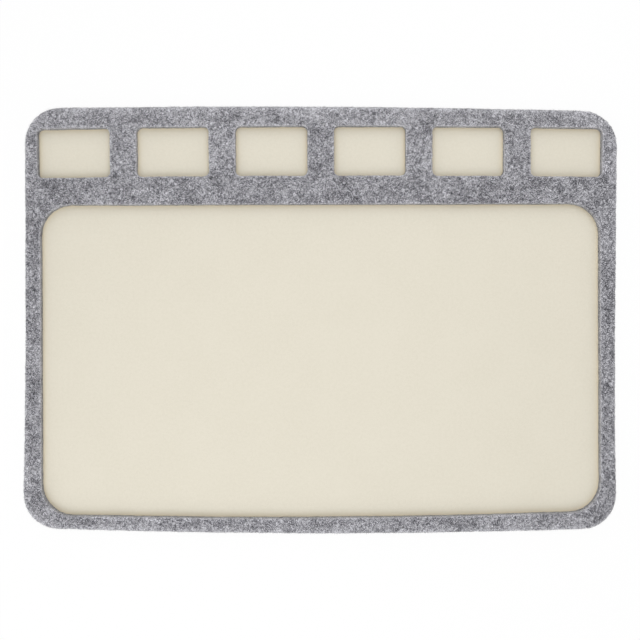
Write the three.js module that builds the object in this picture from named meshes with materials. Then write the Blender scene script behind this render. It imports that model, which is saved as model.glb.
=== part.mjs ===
// Bead mat: a die-cut felt frame with a row of small bead wells and one large work well, glued over
// a cloth of flocked foam whose soft nap keeps the beads from rolling away.
// Millimetres, +Z up. The mat lies flat with its underside on z = 0 and the middle of its outline over
// the origin. The row of small wells is at the rear, towards +Y, and the work well is at the front.

import * as THREE from 'three';

// Felt frame, as it was drawn for the cutting die
const FRAME_WIDTH = 355.6;
const FRAME_DEPTH = 251;
const FELT_THICKNESS = 5;
const FELT_EDGE_EASE = 0.75;
const CORNER_RADIUS = 20.5;

// Row of small wells along the rear edge
const CELL_COUNT = 6;
const CELL_DEPTH = 29.2;
const CELL_RADIUS = 2.8;
const CELL_BAR = 16;
const CELL_SIDE_RAIL = 8.1;
const REAR_RAIL = 11.3;

// Work well in front of them
const DIVIDER = 16.2;
const WELL_RADIUS = 18;
const WELL_SIDE_RAIL = 9.2;
const FRONT_RAIL = 9;

// How far the outline's front corners flare, how far the windows sit turned in it, in degrees, and how far the
// felt has drifted since it was cut
const FRONT_FLARE = 1;
const WINDOW_TURN = 0.4;
const FRONT_BOW = 3.4;
const REAR_BOW = 2.1;
const SIDE_WAIST = 0.7;

// Glue film between the frame and the cloth, held back from every felt edge
const GLUE_THICKNESS = 0.25;
const GLUE_MARGIN = 1.5;

// Flocked foam cloth: nap, foam, scrim, foam, nap
const NAP_HEIGHT = 0.5;
const FOAM_PLY = 1;
const SCRIM_THICKNESS = 0.25;
const CLOTH_INSET = 0.8;

// Longest facets along a bowed side and round a corner
const SIDE_FACET = 30;
const CORNER_FACET = 4.5;
const LEAST_CORNER_FACETS = 3;
const EASE_FACETS = 2;

const FELT_GREY = new THREE.MeshStandardMaterial({ color: 0x909095, roughness: 1, metalness: 0 });
const NAP_CREAM = new THREE.MeshStandardMaterial({ color: 0xe6e0d0, roughness: 0.95, metalness: 0 });
const FOAM_IVORY = new THREE.MeshStandardMaterial({ color: 0xe9e3d3, roughness: 0.9, metalness: 0 });
const SCRIM_WHITE = new THREE.MeshStandardMaterial({ color: 0xeeece4, roughness: 0.8, metalness: 0 });
const GLUE_MILKY = new THREE.MeshStandardMaterial({ color: 0xd9d5c8, roughness: 0.45, metalness: 0 });

// The die's outline flares a little towards its two front corners
function flared([x, y]) {
  const across = x / (FRAME_WIDTH / 2);
  const forward = (1 - y / (FRAME_DEPTH / 2)) / 2;
  return [x + FRONT_FLARE * across * forward ** 4, y];
}

// The die's windows are all turned a little, anticlockwise about the middle of its outline
function turned([x, y]) {
  const turn = THREE.MathUtils.degToRad(WINDOW_TURN);
  return [x * Math.cos(turn) - y * Math.sin(turn), x * Math.sin(turn) + y * Math.cos(turn)];
}

// Cut felt does not stay straight: its front and rear edges bow out and its side rails draw in.
// Every outline is drawn straight, and this one drift then carries all its points.
function drift([x, y]) {
  const across = x / (FRAME_WIDTH / 2);
  const along = y / (FRAME_DEPTH / 2);
  const bow = (REAR_BOW * (1 + along) - FRONT_BOW * (1 - along)) / 2;
  const waist = SIDE_WAIST * (1 - along ** 2);
  return new THREE.Vector2(x - waist * across, y + bow * (1 - across ** 2));
}

// A rectangle with round corners as a ring of points, anticlockwise from the right-hand side
function roundedRing({ left, right, front, rear, radius }) {
  const quarter = Math.PI / 2;
  const cornerFacets = Math.max(LEAST_CORNER_FACETS, Math.ceil((radius * quarter) / CORNER_FACET));
  const centres = [
    [right - radius, rear - radius],
    [left + radius, rear - radius],
    [left + radius, front + radius],
    [right - radius, front + radius],
  ];
  const ring = [];
  const onArc = ([x, y], angle) => [x + radius * Math.cos(angle), y + radius * Math.sin(angle)];
  centres.forEach((centre, corner) => {
    for (let facet = 0; facet <= cornerFacets; facet += 1) {
      ring.push(onArc(centre, (corner + facet / cornerFacets) * quarter));
    }
    const leave = onArc(centre, (corner + 1) * quarter);
    const arrive = onArc(centres[(corner + 1) % centres.length], (corner + 1) * quarter);
    const run = [arrive[0] - leave[0], arrive[1] - leave[1]];
    const sideFacets = Math.ceil(Math.hypot(...run) / SIDE_FACET);
    for (let facet = 1; facet < sideFacets; facet += 1) {
      const share = facet / sideFacets;
      ring.push([leave[0] + run[0] * share, leave[1] + run[1] * share]);
    }
  });
  return ring;
}

// The same rectangle, moved inwards on all sides, or outwards if the distance is negative
function inset({ left, right, front, rear, radius }, distance) {
  return {
    left: left + distance,
    right: right - distance,
    front: front + distance,
    rear: rear - distance,
    radius: radius - distance,
  };
}

const frameOutline = {
  left: -FRAME_WIDTH / 2,
  right: FRAME_WIDTH / 2,
  front: -FRAME_DEPTH / 2,
  rear: FRAME_DEPTH / 2,
  radius: CORNER_RADIUS,
};

// The small wells share what the side rails and the bars between them leave of the width
function cellOutlines() {
  const bars = (CELL_COUNT - 1) * CELL_BAR;
  const width = (FRAME_WIDTH - 2 * CELL_SIDE_RAIL - bars) / CELL_COUNT;
  const rear = frameOutline.rear - REAR_RAIL;
  return Array.from({ length: CELL_COUNT }, (_, cell) => {
    const left = frameOutline.left + CELL_SIDE_RAIL + cell * (width + CELL_BAR);
    return { left, right: left + width, front: rear - CELL_DEPTH, rear, radius: CELL_RADIUS };
  });
}

const wellOutline = {
  left: frameOutline.left + WELL_SIDE_RAIL,
  right: frameOutline.right - WELL_SIDE_RAIL,
  front: frameOutline.front + FRONT_RAIL,
  rear: frameOutline.rear - REAR_RAIL - CELL_DEPTH - DIVIDER,
  radius: WELL_RADIUS,
};

// The mat's outline, drawn back by a margin
function outlineRing(margin) {
  return roundedRing(inset(frameOutline, margin)).map(flared).map(drift);
}

// The frame's plan with all its windows, with every edge of the material drawn back by a margin
function framePlan(margin) {
  const plan = new THREE.Shape(outlineRing(margin));
  const windows = [...cellOutlines(), wellOutline];
  plan.holes = windows.map((window) => {
    const ring = roundedRing(inset(window, -margin));
    return new THREE.Path(ring.map(turned).map(drift));
  });
  return plan;
}

function clothPlan() {
  return new THREE.Shape(outlineRing(CLOTH_INSET));
}

// A flat sheet of the given plan, standing on its own z = 0, with its cut edges eased if asked
function sheet(name, plan, thickness, material, ease = 0) {
  const geometry = new THREE.ExtrudeGeometry(plan, {
    depth: thickness - 2 * ease,
    bevelEnabled: ease > 0,
    bevelThickness: ease,
    bevelSize: ease,
    bevelOffset: -ease,
    bevelSegments: EASE_FACETS,
  });
  geometry.translate(0, 0, ease);
  const mesh = new THREE.Mesh(geometry, material);
  mesh.name = name;
  return mesh;
}

// Sheets laid one on another, face to face, from z = 0 up
function laminate(sheets) {
  const stack = new THREE.Group();
  let height = 0;
  for (const { name, plan, thickness, material, ease } of sheets) {
    const layer = sheet(name, plan, thickness, material, ease);
    layer.position.z = height;
    stack.add(layer);
    height += thickness;
  }
  return stack;
}

const beadMat = laminate([
  { name: 'bottom_nap', plan: clothPlan(), thickness: NAP_HEIGHT, material: NAP_CREAM },
  { name: 'lower_foam', plan: clothPlan(), thickness: FOAM_PLY, material: FOAM_IVORY },
  { name: 'scrim', plan: clothPlan(), thickness: SCRIM_THICKNESS, material: SCRIM_WHITE },
  { name: 'upper_foam', plan: clothPlan(), thickness: FOAM_PLY, material: FOAM_IVORY },
  { name: 'top_nap', plan: clothPlan(), thickness: NAP_HEIGHT, material: NAP_CREAM },
  { name: 'glue_film', plan: framePlan(GLUE_MARGIN), thickness: GLUE_THICKNESS, material: GLUE_MILKY },
  { name: 'felt_frame', plan: framePlan(0), thickness: FELT_THICKNESS, material: FELT_GREY, ease: FELT_EDGE_EASE },
]);

// The front bows further than the rear, so the middle of the outline is moved back over the origin
beadMat.position.y = (FRONT_BOW - REAR_BOW) / 2;

export default beadMat;
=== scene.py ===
# %% [markdown]
# A bead mat, dressed in Blender
#
# The mat is a laminate: a die-cut felt frame with a row of small bead wells and one large work well,
# glued over a cloth of flocked foam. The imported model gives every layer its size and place, so each piece
# below starts from a layer's own outline and adds what a plain solid lacks: lumpy felt with stray hairs,
# a velvety nap, foam with open cells at its cut edge, and a net inside.

# %% Load the frame
import math

import bpy
import numpy as np
from mathutils import Matrix, Vector
from mathutils.bvhtree import BVHTree
from mathutils.kdtree import KDTree


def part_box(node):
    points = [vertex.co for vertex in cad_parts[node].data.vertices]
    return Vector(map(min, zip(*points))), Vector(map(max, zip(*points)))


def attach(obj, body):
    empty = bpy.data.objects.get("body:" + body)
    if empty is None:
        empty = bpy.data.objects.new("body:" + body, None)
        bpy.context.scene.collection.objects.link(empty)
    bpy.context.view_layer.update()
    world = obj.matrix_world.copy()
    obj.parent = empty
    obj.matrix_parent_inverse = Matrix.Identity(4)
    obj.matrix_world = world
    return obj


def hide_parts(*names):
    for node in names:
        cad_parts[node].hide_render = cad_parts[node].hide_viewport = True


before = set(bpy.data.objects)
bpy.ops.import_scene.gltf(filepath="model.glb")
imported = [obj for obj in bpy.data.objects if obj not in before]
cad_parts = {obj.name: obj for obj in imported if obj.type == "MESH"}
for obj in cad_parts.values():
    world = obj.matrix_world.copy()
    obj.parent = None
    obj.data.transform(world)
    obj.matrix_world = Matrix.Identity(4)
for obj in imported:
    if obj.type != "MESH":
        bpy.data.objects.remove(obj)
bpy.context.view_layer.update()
MM = 0.001
felt_low, felt_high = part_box("felt_frame")
nap_low, nap_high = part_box("top_nap")

# %% [markdown]
# The camera
#
# The picture looks straight down on the mat. A perspective camera half a metre above it shows a little of
# each well's outer walls, which an orthographic one would hide. Its place and its small lean were found
# by matching the edges of the frame and the wells.

# %% Camera over the mat
FIELD_OF_VIEW = math.radians(40)
CAMERA_ABOVE_FELT = 0.5276
CAMERA_FOOT = (-0.0061, 0.0042)
LEAN_RIGHT, LEAN_BACK, ROLL = 0.01004, 0.00753, -0.00323

lens = bpy.data.cameras.new("camera")
lens.sensor_fit = "HORIZONTAL"
lens.angle = FIELD_OF_VIEW
lens.clip_start = 0.01
camera = bpy.data.objects.new("camera", lens)
bpy.context.scene.collection.objects.link(camera)
camera.matrix_world = (
    Matrix.Translation((*CAMERA_FOOT, felt_high.z + CAMERA_ABOVE_FELT))
    @ Matrix.Rotation(-LEAN_RIGHT, 4, "Y")
    @ Matrix.Rotation(-LEAN_BACK, 4, "X")
    @ Matrix.Rotation(-ROLL, 4, "Z")
)
bpy.context.scene.camera = camera
print("camera", [round(v, 4) for v in camera.matrix_world.translation])

# %% [markdown]
# Shader nodes from code
#
# Every finish below is a small network of nodes. A few helpers add a node, set its options and either
# fill or link its sockets, so that a finish reads as a short list.


# %% Helpers for shader nodes
def set_sockets(tree, node, sockets):
    """Links those sockets of a node that are given another socket, and fills the rest."""
    for name, value in sockets.items():
        if isinstance(value, bpy.types.NodeSocket):
            tree.links.new(value, node.inputs[name])
        else:
            node.inputs[name].default_value = value


def add_node(tree, kind, sockets, **options):
    node = tree.nodes.new("ShaderNode" + kind)
    for name, value in options.items():
        setattr(node, name, value)
    set_sockets(tree, node, sockets)
    return node


def new_finish(name):
    """A material with a plain Principled shader, and the tree to add its pattern to."""
    finish = bpy.data.materials.new(name)
    finish.use_nodes = True
    return finish, finish.node_tree, finish.node_tree.nodes["Principled BSDF"]


# %% [markdown]
# Light
#
# Product light for a flat object is broad and even, so that the wells show by the soft dark line along
# their walls and not by a hard shadow. A pale world does most of it. One panel overhead brightens the
# well floors, and two broad ones in front and behind brighten the end walls.


# %% Panels
def add_panel(name, place, size, power):
    """A rectangle of light that faces the mat."""
    light = bpy.data.lights.new(name, "AREA")
    light.shape = "RECTANGLE"
    light.size, light.size_y = size
    light.energy = power
    panel = bpy.data.objects.new(name, light)
    panel.location = place
    panel.rotation_euler = Vector(place).to_track_quat("Z", "Y").to_euler()
    panel.visible_camera = False
    bpy.context.scene.collection.objects.link(panel)


add_panel("overhead_panel", place=(-0.04, -0.06, 0.6), size=(0.2, 1.2), power=1.9)
add_panel("rear_panel", place=(-0.08, 1.1, 1.0), size=(1.0, 1.4), power=3.6)
add_panel("front_panel", place=(-0.08, -1.1, 1.0), size=(1.0, 1.4), power=3.6)
print("lamps", [light.name for light in bpy.data.lights])

# %% [markdown]
# White all round
#
# The world is white to the camera and dimmer as a light. The floor looks white too and still takes the
# mat's shadow: it mixes a plain white glow with its own lit surface. It lies a hair under the mat,
# because two faces in one plane would flicker.

# %% World and floor
WORLD_LEVEL = 0.505
FLOOR_SIZE, FLOOR_DROP, FLOOR_GLOW = 6.0, 0.1 * MM, 0.94
WHITE, PAPER_WHITE = (1, 1, 1, 1), (0.98, 0.98, 0.98, 1)


def seen_by_camera(tree):
    """1 for a ray that comes from the camera, also by a mirror or through glass, and 0 for any other."""
    rays = add_node(tree, "LightPath", {}).outputs
    seen = rays["Is Camera Ray"]
    for kind in ("Is Glossy Ray", "Is Transmission Ray"):
        seen = add_node(tree, "Math", {0: seen, 1: rays[kind]}, operation="MAXIMUM").outputs[0]
    return seen


world = bpy.data.worlds.new("studio")
bpy.context.scene.world = world
world.use_nodes = True
tree = world.node_tree
level = add_node(tree, "MapRange", {"Value": seen_by_camera(tree), "To Min": WORLD_LEVEL, "To Max": 1.0})
set_sockets(tree, tree.nodes["Background"], {"Color": WHITE, "Strength": level.outputs[0]})

bpy.ops.object.select_all(action="DESELECT")
bpy.ops.mesh.primitive_plane_add(size=FLOOR_SIZE, location=(0, 0, -FLOOR_DROP))
floor = bpy.context.object
floor.name = "floor"
paper, tree, shader = new_finish("white_paper")
set_sockets(tree, shader, {"Base Color": PAPER_WHITE, "Roughness": 1.0, "Specular IOR Level": 0.0})
share = add_node(tree, "Math", {0: seen_by_camera(tree), 1: FLOOR_GLOW}, operation="MULTIPLY")
glow = add_node(tree, "Emission", {"Color": WHITE, "Strength": 1.0})
blend = add_node(tree, "MixShader", {0: share.outputs[0], 1: shader.outputs[0], 2: glow.outputs[0]})
set_sockets(tree, tree.nodes["Material Output"], {"Surface": blend.outputs[0]})
floor.data.materials.append(paper)
bpy.context.scene.view_settings.view_transform = "Standard"
print("world level", WORLD_LEVEL, "floor", FLOOR_SIZE, "m")

# %% [markdown]
# Patterns
#
# All the patterns are noise in the object's own coordinates, so they stay with a piece and need no
# picture. A pattern is a number at each point. It is stretched to run from 0 to 1, and then it picks a
# colour from a ramp and raises or sinks a bump.


# %% Helpers for patterns
def place_in(tree):
    return add_node(tree, "TexCoord", {}).outputs["Object"]


def attribute_in(tree, name):
    return add_node(tree, "Attribute", {}, attribute_name=name).outputs["Fac"]


def noise_in(tree, place, per_metre, detail, roughness=0.5, **sockets):
    sockets.update({"Vector": place, "Scale": per_metre, "Detail": detail, "Roughness": roughness})
    return add_node(tree, "TexNoise", sockets)


def total_of(tree, parts):
    """One output that adds up several (output, weight) pairs."""
    total = None
    for output, weight in parts:
        part = add_node(tree, "Math", {0: output, 1: weight}, operation="MULTIPLY").outputs[0]
        total = part if total is None else add_node(tree, "Math", {0: total, 1: part}).outputs[0]
    return total


def spread_out(tree, value, low, high, top=1.0):
    """Stretches the part of a value between two levels over 0 to 1, or to another top."""
    sockets = {"Value": value, "From Min": low, "From Max": high, "To Max": top}
    return add_node(tree, "MapRange", sockets).outputs[0]


def two_tone(tree, value, first, last):
    """A ramp from one colour to another, for a value from 0 to 1."""
    ramp = add_node(tree, "ValToRGB", {0: value})
    ramp.color_ramp.elements[0].color = first
    ramp.color_ramp.elements[1].color = last
    return ramp


def bump_from(tree, height, strength, depth, sunken=False):
    sockets = {"Height": height, "Strength": strength, "Distance": depth}
    return add_node(tree, "Bump", sockets, invert=sunken).outputs[0]


# %% [markdown]
# Grey marl felt
#
# Felt is a tangle of short curled fibres. Light and dark ones are mixed, so from a step away it looks
# like salt and pepper with softer clouds. Here locks of light and dark fibre are laid one over the
# other, wide ones first and fine ones last, each along another turn. A lock is noise stretched along its
# turn, in a place that a softer noise has curled. The same pattern drives a little bump.

# %% Locks of fibre
CURLS_PER_M, CURL_REACH = 210, 3.2 * MM
LOCK_LENGTH, LOCK_EDGE, LOCK_WAVER = 1.8, (0.53, 0.63), 0.3


def curled(tree, place):
    """The same place, shifted by a soft noise, so that straight streaks in it come out curled."""
    noise = noise_in(tree, place, CURLS_PER_M, detail=1.0).outputs["Color"]
    centred = add_node(tree, "VectorMath", {0: noise, 1: (0.5, 0.5, 0.5)}, operation="SUBTRACT")
    shift = add_node(tree, "VectorMath", {0: centred.outputs[0], "Scale": CURL_REACH}, operation="SCALE")
    return add_node(tree, "VectorMath", {0: place, 1: shift.outputs[0]}).outputs[0]


def lay_locks(tree, below, place, turn, width, cover, shade):
    """Lays locks of fibre of one width in mm and one shade over what is below, along one turn."""
    spun = add_node(tree, "Mapping", {
        "Vector": place,
        "Location": (turn * MM, 0, 0),
        "Rotation": (0, 0, math.radians(turn)),
        "Scale": (LOCK_LENGTH * (1 + width) * MM, width * MM, width * MM),
    }, vector_type="TEXTURE")
    noise = noise_in(tree, spun.outputs[0], 1.0, detail=1.0, Distortion=LOCK_WAVER)
    lock = spread_out(tree, noise.outputs[0], *LOCK_EDGE, top=cover)
    return add_node(tree, "Mix", {"Factor": lock, "A": below, "B": shade}).outputs[0]


# %% Felt finish
FELT_DARK = (0.034, 0.0335, 0.041, 1)
FELT_MID = (0.262, 0.259, 0.284, 1)
FELT_LIGHT = (0.77, 0.765, 0.81, 1)
TUFTS_PER_M, CLOUDS_PER_M, CLOUD_SHARE = 420, 80, 0.62
TUFT_LEVELS, MARL_LEVELS = (0.35, 0.63), (0.316, 1.196)
LOCKS = ((0.46, 0.85), (0.38, 0.8), (0.34, 0.76), (0.28, 0.7), (0.15, 0.32))
LOCK_TURN = 111.25
PALE_LOCK, DARK_LOCK = 0.97, 0.0
PAINTED_LIGHT_LIFT = 0.3

felt, tree, shader = new_finish("grey_marl_felt")
place = place_in(tree)
tufts = noise_in(tree, place, TUFTS_PER_M, detail=1.0, roughness=0.6).outputs[0]
clouds = noise_in(tree, place, CLOUDS_PER_M, detail=2.0, roughness=0.6).outputs[0]
curls = curled(tree, place)
marl = spread_out(tree, tufts, *TUFT_LEVELS)
turn = 0
for width, cover in LOCKS:
    for shade in (PALE_LOCK, DARK_LOCK):
        turn += LOCK_TURN
        marl = lay_locks(tree, marl, curls, turn, width, cover, shade)
clouded = spread_out(tree, total_of(tree, [(marl, 1.0), (clouds, CLOUD_SHARE)]), *MARL_LEVELS)
# Painted highlights on rims and end rails and painted shade at the wall foot lift or sink the felt's
# colour.
paler = total_of(tree, [(clouded, 1.0), (attribute_in(tree, "painted_light_and_shade"), PAINTED_LIGHT_LIFT)])
ramp = two_tone(tree, paler, FELT_DARK, FELT_LIGHT)
ramp.color_ramp.elements.new(0.5).color = FELT_MID
set_sockets(tree, shader, {
    "Base Color": ramp.outputs[0],
    "Normal": bump_from(tree, marl, strength=0.6, depth=0.35 * MM),
    "Roughness": 1.0,
    "Specular IOR Level": 0.1,
    "Sheen Weight": 0.8,
    "Sheen Roughness": 0.35,
})
print("felt finish:", len(tree.nodes), "nodes")

# %% [markdown]
# Cream flock
#
# The nap is nylon flock, cut short and stood on end, so it has no gloss and no visible weave. What shows
# is a very fine grain, faint patches where it leans another way, and a pale bloom when it is seen from
# the side. The bloom is sheen, the grain is fine noise in the colour and the bump. At the foot of a wall
# the colour is painted warmer and a little brighter, a painted bounce of light from the wall, where an
# attribute of the mesh says.

# %% Flock finish
FLOCK_CREAM = (0.79, 0.745, 0.632, 1)
FLOCK_SHADE = (0.75, 0.705, 0.59, 1)
# The colour of the painted bounce light at the foot of a wall.
FLOCK_PAINTED_BOUNCE = (0.86, 0.757, 0.56, 1)
GRAIN_PER_M, DIMPLES_PER_M, LEAN_PER_M = 3000, 560, 36
GRAIN_SHARE, DIMPLE_SHARE, LEAN_SHARE = 0.6, 0.25, 0.15
PILE_LEVELS = (0.39, 0.57)

flock, tree, shader = new_finish("cream_flock")
place = place_in(tree)
grain = noise_in(tree, place, GRAIN_PER_M, detail=2.0, roughness=0.6).outputs[0]
dimples = noise_in(tree, place, DIMPLES_PER_M, detail=1.0, roughness=0.6).outputs[0]
leaning = noise_in(tree, place, LEAN_PER_M, detail=3.0).outputs[0]
pile = total_of(tree, [(grain, GRAIN_SHARE), (dimples, DIMPLE_SHARE), (leaning, LEAN_SHARE)])
tint = two_tone(tree, spread_out(tree, pile, *PILE_LEVELS), FLOCK_SHADE, FLOCK_CREAM)
# Painted warm bounce light at the foot of the walls.
bounced = add_node(tree, "MixRGB", {
    "Fac": attribute_in(tree, "painted_wall_bounce"), "Color1": tint.outputs[0], "Color2": FLOCK_PAINTED_BOUNCE,
})
set_sockets(tree, shader, {
    "Base Color": bounced.outputs[0],
    "Normal": bump_from(tree, grain, strength=0.35, depth=0.1 * MM),
    "Roughness": 1.0,
    "Specular IOR Level": 0.1,
    "Sheen Weight": 0.2,
    "Sheen Roughness": 0.4,
})
print("flock finish:", len(tree.nodes), "nodes")

# %% [markdown]
# Working on one piece at a time
#
# An operator acts on all that is selected, so a piece is first selected alone, and then all of it or
# only some of its edges or faces are opened for editing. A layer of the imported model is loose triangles,
# and a copy of it has its corners merged before it is used as stock.


# %% Helpers for modelling
def only(piece):
    bpy.ops.object.select_all(action="DESELECT")
    piece.select_set(True)
    bpy.context.view_layer.objects.active = piece


def open_all(piece):
    """Opens a piece in edit mode with all of it selected."""
    only(piece)
    bpy.ops.object.mode_set(mode="EDIT")
    bpy.ops.mesh.select_all(action="SELECT")


def close_up():
    bpy.ops.object.mode_set(mode="OBJECT")


def drop_all(piece, kind):
    """Leaves nothing of a piece selected, ready for picking its edges or its faces."""
    open_all(piece)
    bpy.ops.mesh.select_mode(type=kind)
    bpy.ops.mesh.select_all(action="DESELECT")
    close_up()


def pick_edges(piece, test):
    """Opens a piece in edit mode with those edges selected whose two ends pass a test."""
    drop_all(piece, "EDGE")
    points = piece.data.vertices
    for edge in piece.data.edges:
        edge.select = test(*(points[end].co for end in edge.vertices))
    bpy.ops.object.mode_set(mode="EDIT")


def pick_faces(piece, test):
    """Opens a piece in edit mode with those faces selected that pass a test."""
    drop_all(piece, "FACE")
    for face in piece.data.polygons:
        face.select = test(face)
    bpy.ops.object.mode_set(mode="EDIT")


def finish_with(piece, kind, **options):
    """Adds one modifier, sets its options and applies it."""
    only(piece)
    modifier = piece.modifiers.new(kind.lower(), kind)
    for name, value in options.items():
        setattr(modifier, name, value)
    bpy.ops.object.modifier_apply(modifier=modifier.name)


def stock_from(node, name):
    """A copy of a layer with its corners merged, to model from."""
    piece = bpy.data.objects.new(name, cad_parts[node].data.copy())
    bpy.context.scene.collection.objects.link(piece)
    piece.data.materials.clear()
    only(piece)
    bpy.ops.mesh.customdata_custom_splitnormals_clear()
    open_all(piece)
    bpy.ops.mesh.remove_doubles(threshold=0.001 * MM)
    bpy.ops.mesh.normals_make_consistent(inside=False)
    close_up()
    return piece


def hand_over(piece, finish, slot, *nodes):
    """Gives a piece its finish, hangs it under the root and hides the layers it stands for; the slot is not
    used.
    """
    piece.data.materials.append(finish)
    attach(piece, "root")
    if nodes:
        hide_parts(*nodes)
    triangles = sum(len(face.vertices) - 2 for face in piece.data.polygons)
    print(piece.name, triangles, "triangles", [round(side / MM, 2) for side in piece.dimensions], "mm")


# %% [markdown]
# Rings of the plan
#
# Every layer is cut from a flat sheet, so its plan says most of it. Slicing a layer at half height
# leaves only the cut: one outer ring of edges, and a ring for each window. The model draws its curves as
# short straight facets, so each ring becomes a smooth curve through the same corners. Such a ring can be
# filled and drawn up into a plate of any height, or measured from.

# %% Rings, plates and lines
CURVE_SPAN, CURVE_STEPS, STRAIGHT_ENOUGH = 5 * MM, 4, math.radians(0.5)
LINE_STEP = 0.4 * MM


def even_out(ring, longest):
    """Halves the edges of a ring until none is longer than asked."""
    def too_long(start, end):
        return (end - start).length > longest

    pick_edges(ring, too_long)
    while ring.data.total_edge_sel:
        bpy.ops.mesh.subdivide(number_cuts=1)
        close_up()
        pick_edges(ring, too_long)
    close_up()


def round_off(ring):
    """Turns a ring of straight facets into a smooth one through the same corners."""
    even_out(ring, CURVE_SPAN)
    bpy.ops.object.convert(target="CURVE")
    bpy.ops.object.mode_set(mode="EDIT")
    bpy.ops.curve.select_all(action="SELECT")
    bpy.ops.curve.spline_type_set(type="BEZIER")
    bpy.ops.curve.handle_type_set(type="AUTOMATIC")
    close_up()
    ring.data.resolution_u = CURVE_STEPS
    bpy.ops.object.convert(target="MESH")
    open_all(ring)
    bpy.ops.mesh.dissolve_limited(angle_limit=STRAIGHT_ENOUGH)
    close_up()


def plan_rings(node):
    """The outline of a layer and of its windows, as rings of edges at half height, largest first."""
    low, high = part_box(node)
    open_all(stock_from(node, node + "_plan"))
    bpy.ops.mesh.bisect(plane_co=(low + high) / 2, plane_no=(0, 0, 1), clear_inner=True, clear_outer=True)
    bpy.ops.mesh.select_all(action="SELECT")
    bpy.ops.mesh.separate(type="LOOSE")
    close_up()
    rings = sorted(bpy.context.selected_objects, key=lambda ring: -ring.dimensions.x * ring.dimensions.y)
    for ring in rings:
        round_off(ring)
    return rings


def draw_up(ring, low, high, steps=1, fill=bpy.ops.mesh.edge_face_add):
    """Fills a ring of edges and draws it up into a plate from one height to another."""
    rise = (0, 0, (high - low) / steps)
    open_all(ring)
    fill()
    bpy.ops.transform.translate(value=(0, 0, low - ring.data.vertices[0].co.z))
    for _ in range(steps):
        bpy.ops.mesh.extrude_region_move(TRANSFORM_OT_translate={"value": rise})
    bpy.ops.mesh.select_all(action="SELECT")
    bpy.ops.mesh.normals_make_consistent(inside=False)
    close_up()


def line_of(ring):
    """Points close together along a ring of edges, for measuring how far something is from a cut."""
    points = ring.data.vertices
    steps = []
    for edge in ring.data.edges:
        start, end = (points[index].co for index in edge.vertices)
        count = math.ceil((end - start).length / LINE_STEP)
        steps += [start.lerp(end, step / count) for step in range(count)]
    return steps


def distance_to(lines):
    """A function that measures how far, in plan, a place is from the nearest of some lines."""
    tree = KDTree(sum(len(line) for line in lines))
    for number, point in enumerate(point for line in lines for point in line):
        tree.insert((point.x, point.y, 0), number)
    tree.balance()
    return lambda place: tree.find((place[0], place[1], 0))[2]


# %% [markdown]
# The felt frame
#
# Thick needle felt is punched out with a die, so the frame is one piece. Its outer ring is drawn up to
# the felt's thickness, its rims are beveled because a press rounds them, and the windows are then cut
# through it.

# %% Felt plate with its windows
TOP_RIM_ROUND, UNDER_RIM_ROUND = 1.0 * MM, 0.6 * MM
CUT_REACH, HAIR = 2 * MM, 0.01 * MM

felt_body, *windows = plan_rings("felt_frame")
felt_body.name = "felt_body"
to_outer = distance_to([line_of(felt_body)])
to_window = distance_to([line_of(window) for window in windows])
draw_up(felt_body, felt_low.z, felt_high.z)
pick_edges(felt_body, lambda start, end: min(start.z, end.z) > felt_high.z - HAIR)
bpy.ops.mesh.bevel(offset=TOP_RIM_ROUND, segments=3, affect="EDGES")
close_up()
pick_edges(felt_body, lambda start, end: max(start.z, end.z) < felt_low.z + HAIR)
bpy.ops.mesh.bevel(offset=UNDER_RIM_ROUND, segments=2, affect="EDGES")
close_up()
for window in windows:
    draw_up(window, felt_low.z - CUT_REACH, felt_high.z + CUT_REACH)
    finish_with(felt_body, "BOOLEAN", operation="DIFFERENCE", object=window, solver="EXACT")
    bpy.data.objects.remove(window)
plate_size = [round(side / MM, 1) for side in felt_body.dimensions]
print("felt plate with", len(windows), "windows", plate_size, "mm")

# %% [markdown]
# Felt's lumpy skin
#
# Pressed fibre is never flat. A voxel remesh gives the plate an even skin of small faces, and cloudy
# displacements from coarse to fine push that skin in and out. A last one nibbles at the cut edges, which
# a die never leaves quite straight. The glued underside stays flat: vertex groups hold it, and its
# faces, which are all level, are thinned.

# %% Skin of the felt
FELT_VOXEL, FLAT_FOOT, NIBBLED = 0.64 * MM, 0.8 * MM, 0.8 * MM
LEVEL, FOOT_KEPT = 0.9, 0.06
FELT_LUMPS = {
    "felt_waves": (22 * MM, 0.25 * MM),
    "felt_lumps": (5 * MM, 0.3 * MM),
    "felt_pills": (1.9 * MM, 0.22 * MM),
}
NIBBLES = {"felt_nibbles": (2.4 * MM, 0.5 * MM)}


def lump(piece, lumps, **options):
    """Pushes a skin in and out by cloudy noise, given as {name: (size, height)}."""
    for name, (size, height) in lumps.items():
        texture = bpy.data.textures.new(name, "CLOUDS")
        texture.noise_scale = size
        options.update(texture=texture, texture_coords="LOCAL", strength=height, mid_level=0.5)
        finish_with(piece, "DISPLACE", **options)


finish_with(felt_body, "REMESH", mode="VOXEL", voxel_size=FELT_VOXEL)
finish_with(felt_body, "SMOOTH", factor=0.5, iterations=1)
pick_faces(felt_body, lambda face: face.normal.z < -LEVEL)
bpy.ops.mesh.decimate(ratio=FOOT_KEPT)
close_up()
free_skin = felt_body.vertex_groups.new(name="free_skin")
cut_edge = felt_body.vertex_groups.new(name="cut_edge")
for vertex in felt_body.data.vertices:
    free = min(1, max(0, (vertex.co.z - felt_low.z) / FLAT_FOOT))
    to_cut = min(to_outer(vertex.co), to_window(vertex.co))
    free_skin.add([vertex.index], free, "REPLACE")
    cut_edge.add([vertex.index], free * math.exp(-to_cut / NIBBLED), "REPLACE")
lump(felt_body, FELT_LUMPS, vertex_group="free_skin")
lump(felt_body, NIBBLES, vertex_group="cut_edge")
only(felt_body)
bpy.ops.object.shade_smooth()
hand_over(felt_body, felt, "felt", "felt_frame")
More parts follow.
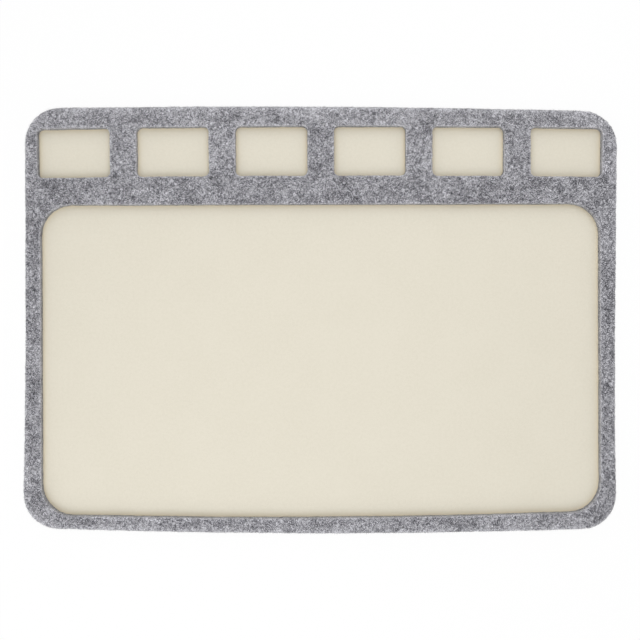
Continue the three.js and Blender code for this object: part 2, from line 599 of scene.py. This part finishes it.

# %% [markdown]
# Painted light and shade on the felt
#
# The felt's colour is painted paler along its cut edges, a painted highlight for the light its rounded rims
# catch, most of all at the top rim and along the front and rear. The front and rear rails, the rear one
# most, are painted a little paler all over, as painted light from the lamps there, and the foot of each
# window wall is painted darker, as painted shade. How much each point is lifted or sunk goes into an
# attribute of the mesh, which the felt finish reads.

# %% Painted light and shade attribute
OUTER_PAINTED_REACH, WINDOW_PAINTED_REACH, RIM_DROP = 1.7 * MM, 0.35 * MM, 1.2 * MM
SIDE_REACH, END_REACH = 0.55, 0.45
SIDE_PALER, END_MORE = 0.6, 0.65
WALL_PALER, RIM_PALER = 0.2, 0.8
WINDOW_PALER, FOOT_PAINTED_SHADE, FOOT_RISE = 1.8, 1.8, 3.5 * MM
END_PALER, REAR_PALER, REAR_FROM, REAR_SPAN = 0.15, 0.1, 85 * MM, 33 * MM

# Painted highlights along rims and end rails, painted shade at the foot of each window wall.
painted_light_and_shade = felt_body.data.attributes.new("painted_light_and_shade", "FLOAT", "POINT")
for vertex, spot in zip(felt_body.data.vertices, painted_light_and_shade.data):
    end_on = (abs(vertex.co.y) / felt_high.y) ** 4
    rear = min(1, max(0, (vertex.co.y - REAR_FROM) / REAR_SPAN))
    rim = max(0, 1 - (felt_high.z - vertex.co.z) / RIM_DROP)
    foot = max(0, 1 - (vertex.co.z - felt_low.z) / FOOT_RISE)
    reach = OUTER_PAINTED_REACH * (SIDE_REACH + END_REACH * end_on)
    outer = (SIDE_PALER + END_MORE * end_on) * math.exp(-to_outer(vertex.co) / reach)
    window = math.exp(-to_window(vertex.co) / WINDOW_PAINTED_REACH)
    painted_end_light = END_PALER * end_on + REAR_PALER * rear
    spot.value = (
        painted_end_light
        + outer * (WALL_PALER + RIM_PALER * rim)
        + window * (WINDOW_PALER * rim - FOOT_PAINTED_SHADE * foot)
    )
print("most frayed", round(max(spot.value for spot in painted_light_and_shade.data), 2))

# %% [markdown]
# Loose fibres
#
# Close up, felt is hairy: long fibres lie on its face, and short ends stand out along the cuts. They are
# too many to model by hand, and a hair system would not come along as a mesh. So each one is a line of
# points that starts on the felt's skin, and one helper turns all the lines into thin three-sided
# threads. Each thread has a cell of its own in a bake map, with its three sides in strips and its two
# ends above them.

# %% Threads from lines
NO_FIBRES_WAY = (0.31, 0.17, 0.94)
TAPER_AT, TAPER = (0, 0.2, 0.8, 1), (0.6, 1, 1, 0.4)
CELL_MARGIN, STRIP_WIDTH, STRIP_GAP, STRIP_HEIGHT = 0.05, 0.27, 0.03, 0.75
TIP_CORNERS, SECOND_TIP = ((0.05, 0.86), (0.4, 0.86), (0.05, 0.97)), (0.5, 0)


def give_strips(mesh, count, steps):
    """A bake map in which every thread has a cell of a square grid, its sides and ends apart in it."""
    grid = math.ceil(math.sqrt(count))
    cell = np.stack(np.divmod(np.arange(count), grid)[::-1], axis=1)
    side, step = np.meshgrid(np.arange(3), np.arange(steps - 1))
    corner = np.array(((0, 0), (1, 0), (1, 1), (0, 1)))
    strip = np.stack((side, step), axis=-1)[:, :, None] + corner
    shift = np.stack((CELL_MARGIN + STRIP_GAP * side, CELL_MARGIN + 0 * side), axis=-1)[:, :, None]
    strip = strip * (STRIP_WIDTH, STRIP_HEIGHT / (steps - 1)) + shift
    strips = cell[:, None, None, None] + strip
    tip = cell[:, None] + np.array(TIP_CORNERS)
    tips = np.concatenate((tip, tip + SECOND_TIP))
    places = np.concatenate((strips.reshape(-1, 2), tips.reshape(-1, 2))) / grid
    mesh.uv_layers.new(name="OFBake").data.foreach_set("uv", places.ravel())


def thread_piece(name, lines, radius):
    """A mesh of thin threads, closed at both ends, along lines that have equally many points."""
    count, steps = lines.shape[:2]
    along = np.gradient(lines, axis=1)
    across = np.cross(along, NO_FIBRES_WAY)
    across /= np.linalg.norm(across, axis=2, keepdims=True)
    third = np.cross(along, across)
    third /= np.linalg.norm(third, axis=2, keepdims=True)
    thickness = radius * np.interp(np.linspace(0, 1, steps), TAPER_AT, TAPER)
    turns = np.radians((0, 120, 240))[:, None]
    rim = np.cos(turns) * across[:, :, None] + np.sin(turns) * third[:, :, None]
    points = lines[:, :, None] + thickness[:, None, None] * rim
    number = np.arange(count * steps * 3).reshape(count, steps, 3)
    low, high = number[:, :-1], number[:, 1:]
    sides = np.stack((low, np.roll(low, -1, 2), np.roll(high, -1, 2), high), axis=-1).reshape(-1, 4)
    ends = np.concatenate((number[:, 0, ::-1], number[:, -1]))
    mesh = bpy.data.meshes.new(name)
    mesh.from_pydata(points.reshape(-1, 3), [], sides.tolist() + ends.tolist())
    mesh.shade_smooth()
    give_strips(mesh, count, steps)
    piece = bpy.data.objects.new(name, mesh)
    bpy.context.scene.collection.objects.link(piece)
    return piece


# %% [markdown]
# Where the fibres start
#
# A start is picked at random on the skin, more often where there is more of it. A lying fibre then takes
# a few steps over the skin and is pulled back onto it after each one. A standing fibre leaves along the
# skin's normal and bends.

# %% Fibre lines
LIE_HEIGHTS, WANDER, LYING_ROOT = (1.0, 0.7, -0.5), 0.35, 0.04 * MM
BEND, STANDING_ROOT = 0.35, 0.15 * MM
WALLS_TOO = 0.6

dice = np.random.default_rng(41)


def unit(arrows):
    return arrows / np.maximum(np.linalg.norm(arrows, axis=-1, keepdims=True), 1e-12)


def skin_of(piece):
    """The corners, normals and areas of a piece's triangles."""
    mesh = piece.data
    mesh.calc_loop_triangles()
    points = np.empty((len(mesh.vertices), 3))
    corners = np.empty((len(mesh.loop_triangles), 3), int)
    mesh.vertices.foreach_get("co", points.ravel())
    mesh.loop_triangles.foreach_get("vertices", corners.ravel())
    places = points[corners]
    arrows = np.cross(places[:, 1] - places[:, 0], places[:, 2] - places[:, 0])
    return places, unit(arrows), np.linalg.norm(arrows, axis=1) / 2


def pick_starts(skin, weights, count):
    """Random places on a skin with the normals there, more of them where the weights are larger."""
    places, normals, areas = skin
    chances = areas * weights
    chosen = dice.choice(len(areas), count, p=chances / chances.sum())
    shares = dice.dirichlet((1, 1, 1), count)
    return (places[chosen] * shares[:, :, None]).sum(1), normals[chosen]


def lying_lines(tree, starts, normals, lengths, lift):
    """Lines of four points that wander over a skin, sunk in at both ends."""
    points = [starts - LYING_ROOT * normals]
    heading = unit(np.cross(normals, dice.normal(0, 1, starts.shape)))
    place = starts
    for height in LIE_HEIGHTS:
        heading = unit(heading + dice.normal(0, WANDER, starts.shape))
        place = place + heading * lengths[:, None] / len(LIE_HEIGHTS)
        nearest = [tree.find_nearest(spot)[:2] for spot in place]
        place = np.array([spot for spot, _ in nearest])
        points.append(place + height * lift * np.array([normal for _, normal in nearest]))
    return np.stack(points, axis=1)


def standing_lines(starts, normals, lengths, lean):
    """Lines of three points that leave a skin and bend over."""
    heading = unit(normals + dice.normal(0, lean, starts.shape))
    bend = dice.normal(0, BEND, starts.shape)
    middle = starts + heading * lengths[:, None] * 0.5
    tip = middle + unit(heading + bend) * lengths[:, None] * 0.5
    return np.stack((starts - STANDING_ROOT * normals, middle, tip), axis=1)


felt_skin = skin_of(felt_body)
felt_tree = BVHTree.FromObject(felt_body, bpy.context.evaluated_depsgraph_get())
felt_spots = felt_skin[0].mean(1)
faces_up = np.clip(felt_skin[1][:, 2] + WALLS_TOO, 0, 1)
print("felt skin", len(felt_spots), "triangles", round(felt_skin[2].sum() * 1e4, 1), "cm2")

# %% Felt fibres
SHADES_PER_M, SHADE_LEVELS = 700, (0.3, 0.7)
PALE_GREYS = (0.3, 0.3, 0.32, 1), (0.6, 0.6, 0.62, 1)
DARK_GREYS = (0.05, 0.05, 0.057, 1), (0.16, 0.158, 0.17, 1)
FIBRE_COUNT, OUTER_COUNT, RIM_COUNT = 9500, 9500, 3500
FIBRE_MM, OUTER_MM, RIM_MM = (2.0, 5.0), (0.3, 1.0), (0.2, 0.6)
FIBRE_RADIUS, FIBRE_LIFT = 0.035 * MM, 0.08 * MM
FUZZ_RADIUS, FUZZ_LEAN, FUZZ_BAND, RIM_DEPTH = 0.03 * MM, 0.7, 0.4 * MM, 0.8 * MM


def fibre_finish(name, dark, light):
    """Dull fibres whose grey changes from one to the next."""
    finish, tree, shader = new_finish(name)
    noise = noise_in(tree, place_in(tree), SHADES_PER_M, detail=1.0, roughness=0.6).outputs[0]
    grey = two_tone(tree, spread_out(tree, noise, *SHADE_LEVELS), dark, light).outputs[0]
    set_sockets(tree, shader, {"Base Color": grey, "Roughness": 0.8, "Specular IOR Level": 0.2})
    return finish


pale_fibre = fibre_finish("pale_fibre", *PALE_GREYS)
dark_fibre = fibre_finish("dark_fibre", *DARK_GREYS)
for name, finish in (("felt_fibres_pale", pale_fibre), ("felt_fibres_dark", dark_fibre)):
    starts, normals = pick_starts(felt_skin, faces_up, FIBRE_COUNT)
    lengths = dice.uniform(*FIBRE_MM, FIBRE_COUNT) * MM
    lines = lying_lines(felt_tree, starts, normals, lengths, FIBRE_LIFT)
    hand_over(thread_piece(name, lines, FIBRE_RADIUS), finish, "felt")
by_outer = np.exp([-to_outer(spot) / FUZZ_BAND for spot in felt_spots])
by_window = np.exp([-to_window(spot) / FUZZ_BAND for spot in felt_spots])
on_rim = felt_spots[:, 2] > felt_high.z - RIM_DEPTH
outer_ends = pick_starts(felt_skin, faces_up * by_outer, OUTER_COUNT)
rim_ends = pick_starts(felt_skin, on_rim * by_window, RIM_COUNT)
lines = np.concatenate((
    standing_lines(*outer_ends, dice.uniform(*OUTER_MM, OUTER_COUNT) * MM, FUZZ_LEAN),
    standing_lines(*rim_ends, dice.uniform(*RIM_MM, RIM_COUNT) * MM, FUZZ_LEAN),
))
hand_over(thread_piece("felt_fuzz", lines, FUZZ_RADIUS), pale_fibre, "felt")

# %% [markdown]
# The flocked faces
#
# Each face of the cloth is a thin sheet. A gridded slab is laid over the layer's place and the layer's
# outline cuts it out, as a cutting die does. Under the felt the nap is pressed flat, and in the wells it
# stands up a little and rolls in faint waves. How near a wall each point lies goes into an attribute,
# which the finish turns into painted bounce light at the foot of the walls.

# %% Top and bottom nap
NAP_GRID, NAP_CREASE = 3.0 * MM, math.radians(40)
NAP_STANDS, NAP_SHOULDER, FROM_ABOVE = 0.18 * MM, 5 * MM, 1.0
NAP_WAVES = {"nap_waves": (45 * MM, 0.3 * MM)}
PAINTED_BOUNCE_REACH = 1.3 * MM


def die_cut(piece, node):
    """Cuts a piece to the outline of a layer."""
    low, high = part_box(node)
    die = plan_rings(node)[0]
    draw_up(die, low.z - CUT_REACH, high.z + CUT_REACH)
    finish_with(piece, "BOOLEAN", operation="INTERSECT", object=die, solver="EXACT")
    bpy.data.objects.remove(die)


def nap_sheet(name, node, pitch):
    """A gridded slab with a layer's thickness, cut to the layer's outline."""
    low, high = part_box(node)
    size = high - low + Vector((2 * pitch, 2 * pitch, 0))
    middle = (low + high) / 2
    columns, rows = round(size.x / pitch), round(size.y / pitch)
    bpy.ops.object.select_all(action="DESELECT")
    bpy.ops.mesh.primitive_grid_add(x_subdivisions=columns, y_subdivisions=rows, size=1, location=middle)
    slab = bpy.context.object
    slab.name = name
    slab.scale = (size.x, size.y, 1)
    bpy.ops.object.transform_apply(location=True, rotation=True, scale=True)
    finish_with(slab, "SOLIDIFY", thickness=high.z - low.z, offset=0)
    die_cut(slab, node)
    return slab


def gives_way(place):
    """How far the nap stands up at a place: 0 under the felt, 1 well inside a window."""
    above = (place.x, place.y, felt_high.z + FROM_ABOVE)
    covered = felt_cover.ray_cast(above, (0, 0, -1))[0] is not None
    return 0 if covered else min(1, to_window(place) / NAP_SHOULDER)


def on_shoulder(face):
    return face.normal.z > LEVEL and to_window(face.center) < NAP_SHOULDER + NAP_GRID


top_flock = nap_sheet("top_flock", "top_nap", NAP_GRID)
pick_faces(top_flock, on_shoulder)
bpy.ops.mesh.subdivide(number_cuts=2)
close_up()
felt_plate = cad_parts["felt_frame"].data
felt_points = [vertex.co for vertex in felt_plate.vertices]
felt_cover = BVHTree.FromPolygons(felt_points, [face.vertices for face in felt_plate.polygons])
standing = top_flock.vertex_groups.new(name="standing_nap")
painted_bounce = top_flock.data.attributes.new("painted_wall_bounce", "FLOAT", "POINT")
for vertex, spot in zip(top_flock.data.vertices, painted_bounce.data):
    if vertex.co.z > nap_high.z - HAIR:
        share = gives_way(vertex.co)
        standing.add([vertex.index], share * share * (3 - 2 * share), "REPLACE")
        # Painted bounce light, strongest at the foot of each window wall.
        spot.value = math.exp(-to_window(vertex.co) / PAINTED_BOUNCE_REACH)
in_wells = {"direction": "Z", "vertex_group": "standing_nap"}
finish_with(top_flock, "DISPLACE", strength=NAP_STANDS, mid_level=0, **in_wells)
lump(top_flock, NAP_WAVES, **in_wells)
under_flock = nap_sheet("under_flock", "bottom_nap", NAP_GRID)
for sheet, node in ((top_flock, "top_nap"), (under_flock, "bottom_nap")):
    only(sheet)
    bpy.ops.object.shade_smooth_by_angle(angle=NAP_CREASE)
    hand_over(sheet, flock, "nap", node)

# %% [markdown]
# Fringe of the flock
#
# Along the cloth's cut edge the outermost flock fibres lean out over nothing, so the edge looks soft.
# They are short threads that stand on the edge faces of both naps. None goes down through the table.

# %% Flock fringe
FRINGE_COUNT, FRINGE_RADIUS = 2500, 0.03 * MM
FRINGE_MM, FRINGE_LEAN, STEEP = (0.3, 0.7), 0.4, 0.5

fringe = []
for sheet in (top_flock, under_flock):
    nap_skin = skin_of(sheet)
    edge_faces = (np.abs(nap_skin[1][:, 2]) < STEEP).astype(float)
    starts, normals = pick_starts(nap_skin, edge_faces, FRINGE_COUNT)
    lengths = dice.uniform(*FRINGE_MM, FRINGE_COUNT) * MM
    fringe.append(standing_lines(starts, normals, lengths, FRINGE_LEAN))
lines = np.concatenate(fringe)
lines[:, :, 2] = np.maximum(lines[:, :, 2], FRINGE_RADIUS)
hand_over(thread_piece("flock_fringe", lines, FRINGE_RADIUS), flock, "nap")

# %% [markdown]
# Foam plies
#
# The nap is flocked on thin open-cell foam. Its faces are hidden, but its cut edge shows from the side,
# as a band with small torn cells. The cloth's ring is divided finely, drawn up in steps, and its band is
# pitted by a cell pattern. Each ply reaches a little into the net between them, which is embedded in
# foam.

# %% Foam finish
FOAM_PALE, FOAM_PAINTED_SHADE = (0.8, 0.765, 0.65, 1), (0.66, 0.62, 0.5, 1)
FOAM_CELLS_PER_M, FOAM_LEVELS = 2600, (0.0, 0.3)


def cells_in(tree, per_metre):
    """How far each point is from the nearest wall in a pattern of cells."""
    sockets = {"Vector": place_in(tree), "Scale": per_metre}
    return add_node(tree, "TexVoronoi", sockets, feature="DISTANCE_TO_EDGE").outputs["Distance"]


foam, tree, shader = new_finish("ivory_foam")
# The hollows of the cells are painted darker, as painted shade, and sunk by the bump.
hollow = spread_out(tree, cells_in(tree, FOAM_CELLS_PER_M), *FOAM_LEVELS)
set_sockets(tree, shader, {
    "Base Color": two_tone(tree, hollow, FOAM_PALE, FOAM_PAINTED_SHADE).outputs[0],
    "Normal": bump_from(tree, hollow, strength=0.7, depth=0.15 * MM, sunken=True),
    "Roughness": 0.95,
    "Specular IOR Level": 0.15,
})
print("foam finish:", len(tree.nodes), "nodes")

# %% Upper and lower foam
FOAM_EDGE_STEP, FOAM_STEPS, FOAM_INTO_NET = 0.8 * MM, 4, 0.12 * MM
TORN_CELL, TORN_DEPTH = 1.1 * MM, 0.3 * MM


def foam_ply(name, node, low_reach, high_reach):
    """A ply of foam that reaches past its layer, below and above, and is torn along its cut edge."""
    low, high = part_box(node)
    foot, top = low.z - low_reach, high.z + high_reach
    ply = plan_rings(node)[0]
    ply.name = name
    even_out(ply, FOAM_EDGE_STEP)
    draw_up(ply, foot, top, FOAM_STEPS)
    pick_faces(ply, lambda face: abs(face.normal.z) > LEVEL)
    bpy.ops.mesh.poke()
    close_up()
    band = ply.vertex_groups.new(name="torn_band")
    inside = [vertex.index for vertex in ply.data.vertices if foot + HAIR < vertex.co.z < top - HAIR]
    band.add(inside, 1.0, "REPLACE")
    torn = bpy.data.textures.new(name + "_cells", "VORONOI")
    torn.noise_scale = TORN_CELL
    finish_with(ply, "DISPLACE", texture=torn, texture_coords="LOCAL", strength=-TORN_DEPTH,
                mid_level=0, vertex_group="torn_band")
    hand_over(ply, foam, "foam", node)
    return ply


upper_ply = foam_ply("upper_foam_ply", "upper_foam", FOAM_INTO_NET, 0)
foam_ply("lower_foam_ply", "lower_foam", 0, FOAM_INTO_NET)

# %% [markdown]
# The scrim
#
# A laid scrim is a net of two sheets of straight yarns, one on top of the other, held by a binder where
# they cross, so the sheets lie a little into each other. One yarn is modelled for each direction and
# repeated, and the cloth's outline cuts the sheets to size.

# %% Scrim finish
YARN_WHITE, YARN_SHADE = (0.85, 0.84, 0.78, 1), (0.68, 0.665, 0.6, 1)
TWISTS_PER_M = 900

yarn, tree, shader = new_finish("scrim_yarn")
twist = add_node(tree, "TexWave", {
    "Vector": place_in(tree), "Scale": TWISTS_PER_M, "Distortion": 2.0, "Detail": 2.0,
}, bands_direction="DIAGONAL").outputs["Fac"]
set_sockets(tree, shader, {
    "Base Color": two_tone(tree, twist, YARN_SHADE, YARN_WHITE).outputs[0],
    "Normal": bump_from(tree, twist, strength=0.4, depth=0.03 * MM),
    "Roughness": 0.8,
})
print("yarn finish:", len(tree.nodes), "nodes")

# %% Scrim net
YARN_PITCH, YARN_RADIUS, YARN_CREASE = 3.0 * MM, 0.085 * MM, math.radians(70)
YARN_RISE, YARN_OVERRUN = 0.45, 1.1


def yarn_sheet(name, low, high, turned):
    """Parallel yarns over a whole layer, along Y, or along X and a little higher where turned."""
    size = high - low
    run, spread = (size.x, size.y) if turned else (size.y, size.x)
    count = math.floor(spread / YARN_PITCH)
    step = Vector((0, YARN_PITCH, 0) if turned else (YARN_PITCH, 0, 0))
    rise = Vector((0, 0, YARN_RISE * (YARN_RADIUS if turned else -YARN_RADIUS)))
    place = (low + high) / 2 + rise - step * (count - 1) / 2
    quarter = (0, math.pi / 2, 0) if turned else (math.pi / 2, 0, 0)
    bpy.ops.object.select_all(action="DESELECT")
    bpy.ops.mesh.primitive_cylinder_add(
        vertices=6, radius=YARN_RADIUS, depth=run * YARN_OVERRUN, location=place, rotation=quarter)
    sheet = bpy.context.object
    sheet.name = name
    bpy.ops.object.transform_apply(location=True, rotation=True, scale=True)
    finish_with(sheet, "ARRAY", count=count, use_relative_offset=False, use_constant_offset=True,
                constant_offset_displace=step)
    die_cut(sheet, "scrim")
    return sheet


scrim_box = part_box("scrim")
scrim_net = yarn_sheet("scrim_net", *scrim_box, turned=False)
wefts = yarn_sheet("wefts", *scrim_box, turned=True)
only(scrim_net)
wefts.select_set(True)
bpy.ops.object.join()
bpy.ops.object.shade_smooth_by_angle(angle=YARN_CREASE)
hand_over(scrim_net, yarn, "scrim", "scrim")

# %% [markdown]
# The glue web
#
# The frame is held by a hot-melt web: a thin milky film laid between felt and cloth and pressed warm. It
# stays back from the felt's edges, and its own edges wander where it melted. The layer's rings are
# divided, pushed about sideways, filled with their windows left open, and given their thickness.

# %% Glue finish
GLUE_MILK, GLUE_CLEAR = (0.69, 0.66, 0.58, 1), (0.52, 0.49, 0.42, 1)
WEB_CELLS_PER_M, WEB_LEVELS = 450, (0.05, 0.25)

glue, tree, shader = new_finish("milky_glue")
thin = spread_out(tree, cells_in(tree, WEB_CELLS_PER_M), *WEB_LEVELS)
set_sockets(tree, shader, {
    "Base Color": two_tone(tree, thin, GLUE_MILK, GLUE_CLEAR).outputs[0],
    "Normal": bump_from(tree, thin, strength=0.5, depth=0.1 * MM, sunken=True),
    "Roughness": 0.45,
})
print("glue finish:", len(tree.nodes), "nodes")

# %% Glue web
GLUE_STEP, MELT_REACH = 2.0 * MM, 0.9 * MM
MELT_SIZES = {"X": 7 * MM, "Y": 9 * MM}

glue_low, glue_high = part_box("glue_film")
glue_rings = plan_rings("glue_film")
for ring in glue_rings:
    even_out(ring, GLUE_STEP)
    for way, size in MELT_SIZES.items():
        lump(ring, {"melt_" + way.lower(): (size, MELT_REACH)}, direction=way)
glue_web = glue_rings[0]
glue_web.name = "glue_web"
only(glue_web)
for ring in glue_rings[1:]:
    ring.select_set(True)
bpy.ops.object.join()
draw_up(glue_web, glue_low.z, glue_high.z, fill=bpy.ops.mesh.fill)
hand_over(glue_web, glue, "glue", "glue_film")
